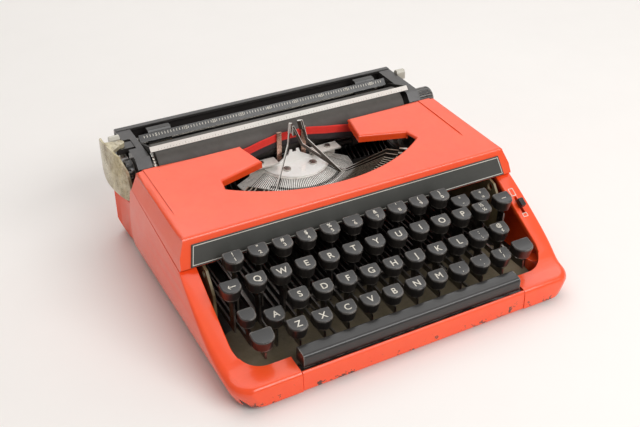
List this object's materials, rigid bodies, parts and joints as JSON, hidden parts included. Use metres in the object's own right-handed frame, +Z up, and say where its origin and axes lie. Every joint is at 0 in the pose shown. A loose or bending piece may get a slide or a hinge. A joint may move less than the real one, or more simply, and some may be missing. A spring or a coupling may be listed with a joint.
{
  "type": "portable typewriter",
  "caption": "Portable manual typewriter with an orange moulded case, lift-off ribbon cover, dark keys, open type basket and sliding carriage.",
  "frame": {"origin": "on the ground under the middle of the machine's box", "axes": "+X to the typist's right along the keys, +Y to the back, +Z up"},
  "size_m": [0.3, 0.266, 0.096],
  "materials": {
    "orange_shell": "satin",
    "grey_panel": "satin",
    "key_plastic": "satin",
    "black_metal": "satin",
    "rubber": "matte",
    "bright_steel": "satin",
    "olive_metal": "satin",
    "brass": "satin",
    "white_plastic": "gloss",
    "ivory_plastic": "gloss",
    "pearl_metal": "polished",
    "ribbon_cloth": "matte",
    "felt": "matte"
  },
  "bodies": {
    "root": {"case_shell": "orange_shell", "front_apron": "orange_shell", "base_plate": "black_metal", "rubber_feet": "rubber", "screws": "bright_steel", "side_frames": "olive_metal", "cross_plate": "black_metal", "keyboard_bed": "olive_metal", "key_shafts": "bright_steel", "type_segment": "bright_steel", "segment_plate": "bright_steel", "pivot_wire": "bright_steel", "typebars": "bright_steel", "basket_pan": "black_metal", "type_rest": "felt", "vibrator_bracket": "bright_steel", "ribbon": "ribbon_cloth", "spool_cups": "black_metal", "carriage_rail": "bright_steel", "margin_bell": "bright_steel"},
    "cover": {"ribbon_cover": "orange_shell", "front_panel": "grey_panel"},
    "carriage": {"end_plates": "black_metal", "carriage_bed": "black_metal", "paper_pan": "black_metal", "margin_scale": "black_metal", "margin_rail": "bright_steel", "rear_bar": "black_metal"},
    "platen": {"platen": "rubber", "platen_shaft": "bright_steel", "knob_left": "key_plastic", "knob_right": "key_plastic", "line_ratchet": "bright_steel"},
    "feed_roller": {"feed_roller": "rubber"},
    "paper_bail": {"paper_bail": "white_plastic"},
    "return_lever": {"return_lever": "pearl_metal"},
    "release_bar": {"release_bar": "ivory_plastic"},
    "margin_stop_left": {"margin_stop_left": "black_metal"},
    "margin_stop_right": {"margin_stop_right": "black_metal"},
    "number_row": {"keys_number": "key_plastic"},
    "upper_row": {"keys_upper": "key_plastic"},
    "home_row": {"keys_home": "key_plastic"},
    "lower_row": {"keys_lower": "key_plastic"},
    "key_a": {"key_a": "key_plastic"},
    "key_hyphen": {"key_hyphen": "key_plastic"},
    "key_equals": {"key_equals": "key_plastic"},
    "typebar_a": {"typebar_a": "bright_steel"},
    "typebar_hyphen": {"typebar_hyphen": "bright_steel"},
    "typebar_equals": {"typebar_equals": "bright_steel"},
    "shift_keys": {"shift_keys": "key_plastic"},
    "shift_lock": {"shift_lock": "key_plastic"},
    "backspace_key": {"backspace_key": "key_plastic"},
    "margin_key": {"margin_key": "key_plastic"},
    "space_bar": {"space_bar": "key_plastic"},
    "ribbon_selector": {"ribbon_selector": "key_plastic"},
    "vibrator": {"ribbon_vibrator": "bright_steel"},
    "spool_left": {"spool_left": "bright_steel"},
    "spool_right": {"spool_right": "bright_steel"},
    "drum": {"mainspring_drum": "brass"}
  },
  "joints": [
    {"name": "cover_lift", "type": "slide", "parent": "root", "child": "cover", "axis": [0, 0, 1], "range_m": [0, 0.06]},
    {"name": "carriage_travel", "type": "slide", "parent": "root", "child": "carriage", "axis": [1, 0, 0], "range_m": [-0.09, 0.09]},
    {"name": "platen_turn", "type": "hinge", "parent": "carriage", "child": "platen", "pos_m": [0, 0.0885, 0.07], "axis": [1, 0, 0], "continuous": true},
    {"name": "lever_swing", "type": "hinge", "parent": "carriage", "child": "return_lever", "pos_m": [-0.1345, 0.104, 0.086], "axis": [0, 0, 1], "range_deg": [-25, 0], "stiffness_Nm_per_rad": 0.05, "springref_deg": 11.46},
    {"name": "bail_lift", "type": "hinge", "parent": "carriage", "child": "paper_bail", "pos_m": [0, 0.106, 0.08], "axis": [1, 0, 0], "range_deg": [-60, 0]},
    {"name": "stop_left_slide", "type": "slide", "parent": "carriage", "child": "margin_stop_left", "axis": [1, 0, 0], "range_m": [-0.008, 0.08]},
    {"name": "stop_right_slide", "type": "slide", "parent": "carriage", "child": "margin_stop_right", "axis": [1, 0, 0], "range_m": [-0.08, 0.008]},
    {"name": "number_row_press", "type": "hinge", "parent": "root", "child": "number_row", "pos_m": [0, 0.096, 0.036], "axis": [1, 0, 0], "range_deg": [0, 3.79], "stiffness_Nm_per_rad": 1, "springref_deg": -11.46},
    {"name": "upper_row_press", "type": "hinge", "parent": "root", "child": "upper_row", "pos_m": [0, 0.096, 0.036], "axis": [1, 0, 0], "range_deg": [0, 3.4], "stiffness_Nm_per_rad": 1, "springref_deg": -11.46},
    {"name": "home_row_press", "type": "hinge", "parent": "root", "child": "home_row", "pos_m": [0, 0.096, 0.036], "axis": [1, 0, 0], "range_deg": [0, 3.09], "stiffness_Nm_per_rad": 1, "springref_deg": -11.46},
    {"name": "lower_row_press", "type": "hinge", "parent": "root", "child": "lower_row", "pos_m": [0, 0.096, 0.036], "axis": [1, 0, 0], "range_deg": [0, 2.83], "stiffness_Nm_per_rad": 1, "springref_deg": -11.46},
    {"name": "space_bar_press", "type": "hinge", "parent": "root", "child": "space_bar", "pos_m": [0, -0.05, 0.0095], "axis": [1, 0, 0], "range_deg": [0, 4.5], "stiffness_Nm_per_rad": 0.6, "springref_deg": -11.46},
    {"name": "shift_press", "type": "hinge", "parent": "root", "child": "shift_keys", "pos_m": [0, 0.096, 0.036], "axis": [1, 0, 0], "range_deg": [0, 2.83], "stiffness_Nm_per_rad": 0.6, "springref_deg": -11.46},
    {"name": "shift_lock_press", "type": "hinge", "parent": "root", "child": "shift_lock", "pos_m": [0, 0.096, 0.036], "axis": [1, 0, 0], "range_deg": [0, 2.2], "stiffness_Nm_per_rad": 0.2, "springref_deg": -11.46},
    {"name": "backspace_press", "type": "hinge", "parent": "root", "child": "backspace_key", "pos_m": [0, 0.096, 0.036], "axis": [1, 0, 0], "range_deg": [0, 3.4], "stiffness_Nm_per_rad": 0.2, "springref_deg": -11.46},
    {"name": "margin_key_press", "type": "hinge", "parent": "root", "child": "margin_key", "pos_m": [0, 0.096, 0.036], "axis": [1, 0, 0], "range_deg": [0, 3.4], "stiffness_Nm_per_rad": 0.2, "springref_deg": -11.46},
    {"name": "typebar_a_swing", "type": "hinge", "parent": "root", "child": "typebar_a", "pos_m": [-0.03097, 0.03575, 0.0495], "axis": [0.7103, -0.7039, 0], "range_deg": [0, 108]},
    {"name": "key_a_press", "type": "hinge", "parent": "root", "child": "key_a", "pos_m": [0, 0.096, 0.036], "axis": [1, 0, 0], "range_deg": [-3.09, 0]},
    {"name": "typebar_hyphen_swing", "type": "hinge", "parent": "root", "child": "typebar_hyphen", "pos_m": [0.03097, 0.03575, 0.0495], "axis": [0.7103, 0.7039, 0], "range_deg": [0, 106]},
    {"name": "key_hyphen_press", "type": "hinge", "parent": "root", "child": "key_hyphen", "pos_m": [0, 0.096, 0.036], "axis": [1, 0, 0], "range_deg": [-3.79, 0]},
    {"name": "typebar_equals_swing", "type": "hinge", "parent": "root", "child": "typebar_equals", "pos_m": [0.0335, 0.03847, 0.0495], "axis": [0.6484, 0.7613, 0], "range_deg": [0, 116]},
    {"name": "key_equals_press", "type": "hinge", "parent": "root", "child": "key_equals", "pos_m": [0, 0.096, 0.036], "axis": [1, 0, 0], "range_deg": [-3.79, 0]},
    {"name": "release_tilt", "type": "hinge", "parent": "carriage", "child": "release_bar", "pos_m": [0, 0.113, 0.071], "axis": [1, 0, 0], "range_deg": [0, 10], "stiffness_Nm_per_rad": 0.2, "springref_deg": -8.59},
    {"name": "selector_slide", "type": "slide", "parent": "root", "child": "ribbon_selector", "axis": [0, 0.8742, 0.4856], "range_m": [-0.0035, 0.0035]},
    {"name": "vibrator_lift", "type": "slide", "parent": "root", "child": "vibrator", "axis": [0, 0, 1], "range_m": [0, 0.006]},
    {"name": "spool_left_turn", "type": "hinge", "parent": "root", "child": "spool_left", "pos_m": [-0.101, 0.04, 0.07], "axis": [0, 0, 1], "continuous": true},
    {"name": "spool_right_turn", "type": "hinge", "parent": "root", "child": "spool_right", "pos_m": [0.101, 0.04, 0.07], "axis": [0, 0, 1], "continuous": true},
    {"name": "feed_turn", "type": "hinge", "parent": "carriage", "child": "feed_roller", "pos_m": [0, 0.0829, 0.0489], "axis": [1, 0, 0], "continuous": true},
    {"name": "drum_turn", "type": "hinge", "parent": "root", "child": "drum", "pos_m": [-0.092, 0.084, 0.012], "axis": [0, 0, 1], "range_deg": [-350, 350]}
  ],
  "couplings": [
    {"joint": "key_a_press", "follows": "typebar_a_swing", "ratio": -0.028611},
    {"joint": "key_hyphen_press", "follows": "typebar_hyphen_swing", "ratio": -0.035754},
    {"joint": "typebar_equals_swing", "follows": "typebar_hyphen_swing", "ratio": 1.0943},
    {"joint": "key_equals_press", "follows": "typebar_hyphen_swing", "ratio": -0.035754},
    {"joint": "spool_right_turn", "follows": "spool_left_turn", "ratio": 1},
    {"joint": "feed_turn", "follows": "platen_turn", "ratio": -3.5106},
    {"joint": "drum_turn", "follows": "carriage_travel", "rad_per_m": 66.666}
  ]
}
